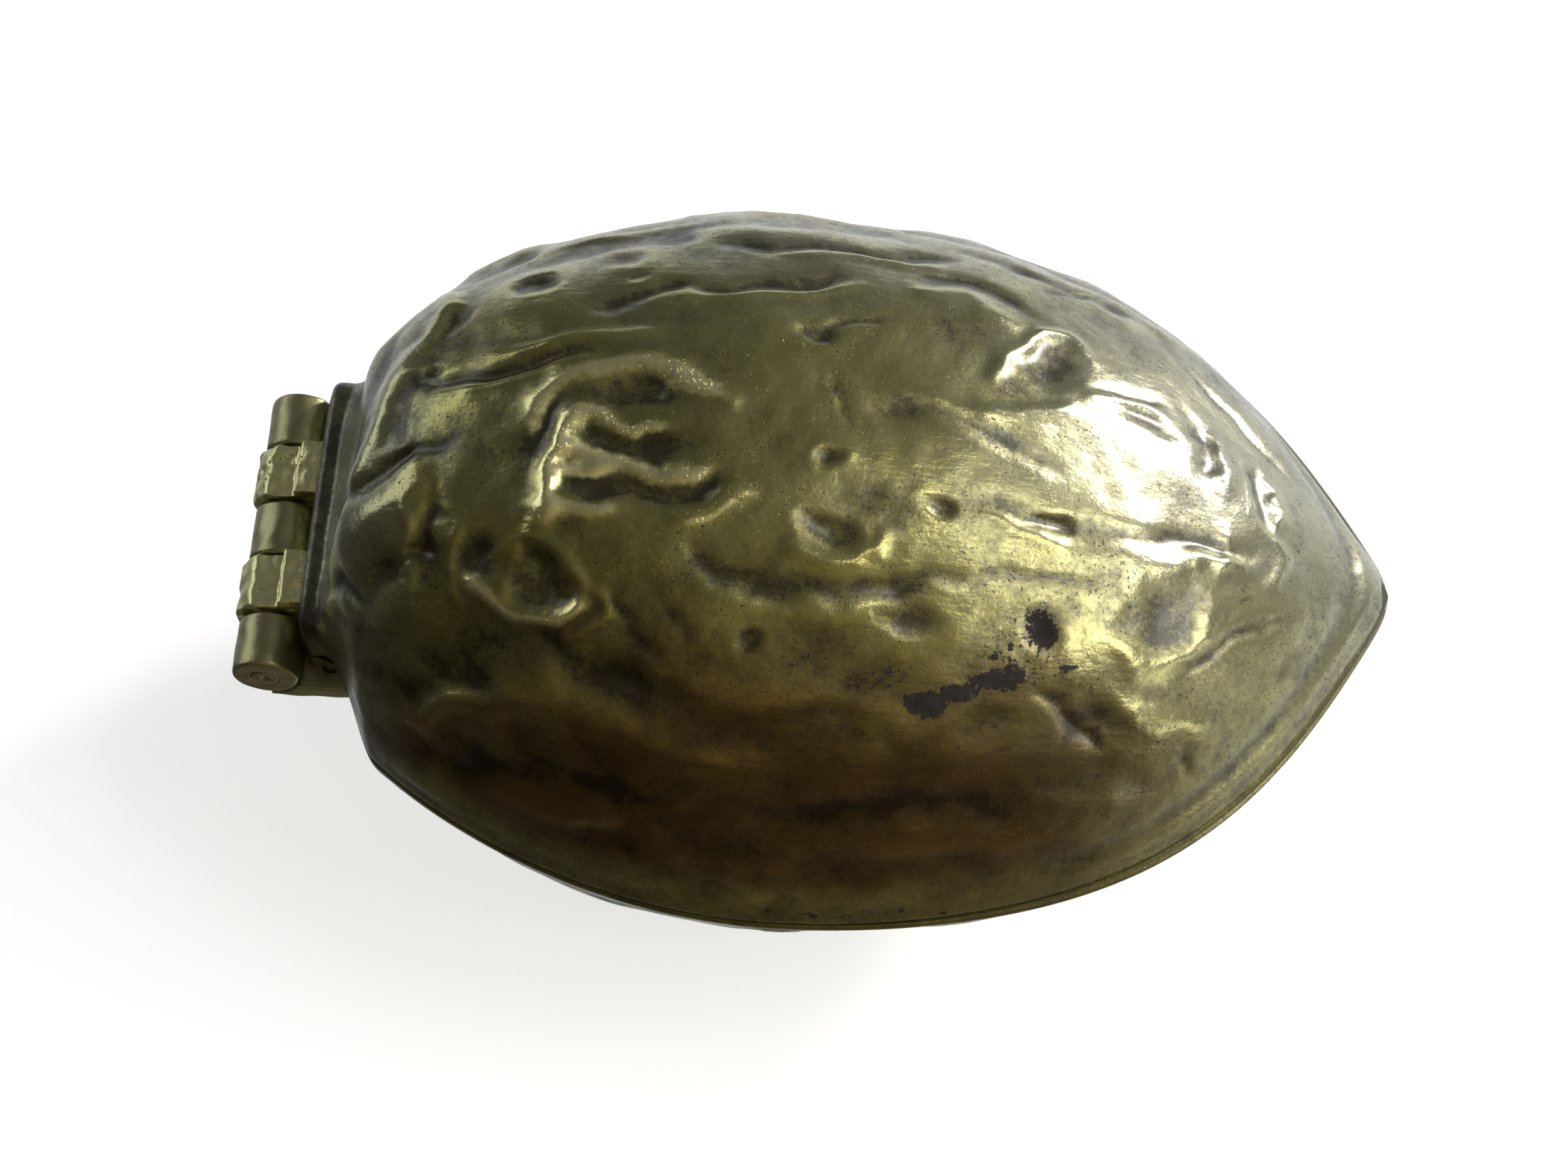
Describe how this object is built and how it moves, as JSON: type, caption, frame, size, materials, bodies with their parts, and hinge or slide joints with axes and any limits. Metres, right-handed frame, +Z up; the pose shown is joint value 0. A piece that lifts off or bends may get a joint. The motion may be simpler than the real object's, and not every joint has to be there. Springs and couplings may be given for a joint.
{
  "type": "nutcracker",
  "caption": "Hinged cast brass nutcracker in the shape of a walnut, with two hollow half shells and toothed jaws inside.",
  "frame": {"origin": "bottom centre of the closed nutcracker, in the plane of the ground flat it rests on", "axes": "+X from the hinge to the pointed tip, +Y along the hinge pin, +Z up, square to the joint face"},
  "size_m": [0.114, 0.076, 0.0618],
  "materials": {
    "shell_brass": "cast, olive-brown patina, worn satin on the high places",
    "strap_brass": "filed and worn bright",
    "barrel_brass": "dark patina, satin",
    "pin_brass": "dark patina, peened end",
    "jaw_brass": "as cast, worn on the teeth",
    "fastener_steel": "plain steel, darkened with age"
  },
  "bodies": {
    "lower_half": {"lower_shell": "shell_brass", "lower_hinge_leaf": "barrel_brass", "hinge_barrel_far": "barrel_brass", "hinge_barrel_middle": "barrel_brass", "hinge_barrel_near": "barrel_brass", "hinge_pin": "pin_brass", "leaf_pin_far": "fastener_steel", "leaf_pin_middle": "fastener_steel", "leaf_pin_near": "fastener_steel", "lower_jaw": "jaw_brass", "lower_jaw_screw_rear": "fastener_steel", "lower_jaw_screw_front": "fastener_steel"},
    "upper_half": {"upper_shell": "shell_brass", "upper_hinge_strap_far": "strap_brass", "upper_hinge_strap_near": "strap_brass", "strap_pin_far": "fastener_steel", "strap_pin_near": "fastener_steel", "upper_jaw": "jaw_brass", "upper_jaw_screw_rear": "fastener_steel", "upper_jaw_screw_front": "fastener_steel"}
  },
  "joints": [
    {"name": "hinge", "type": "hinge", "parent": "lower_half", "child": "upper_half", "pos_m": [-0.0532, 0, 0.0301], "axis": [0, -1, 0], "range_deg": [0, 180]}
  ]
}
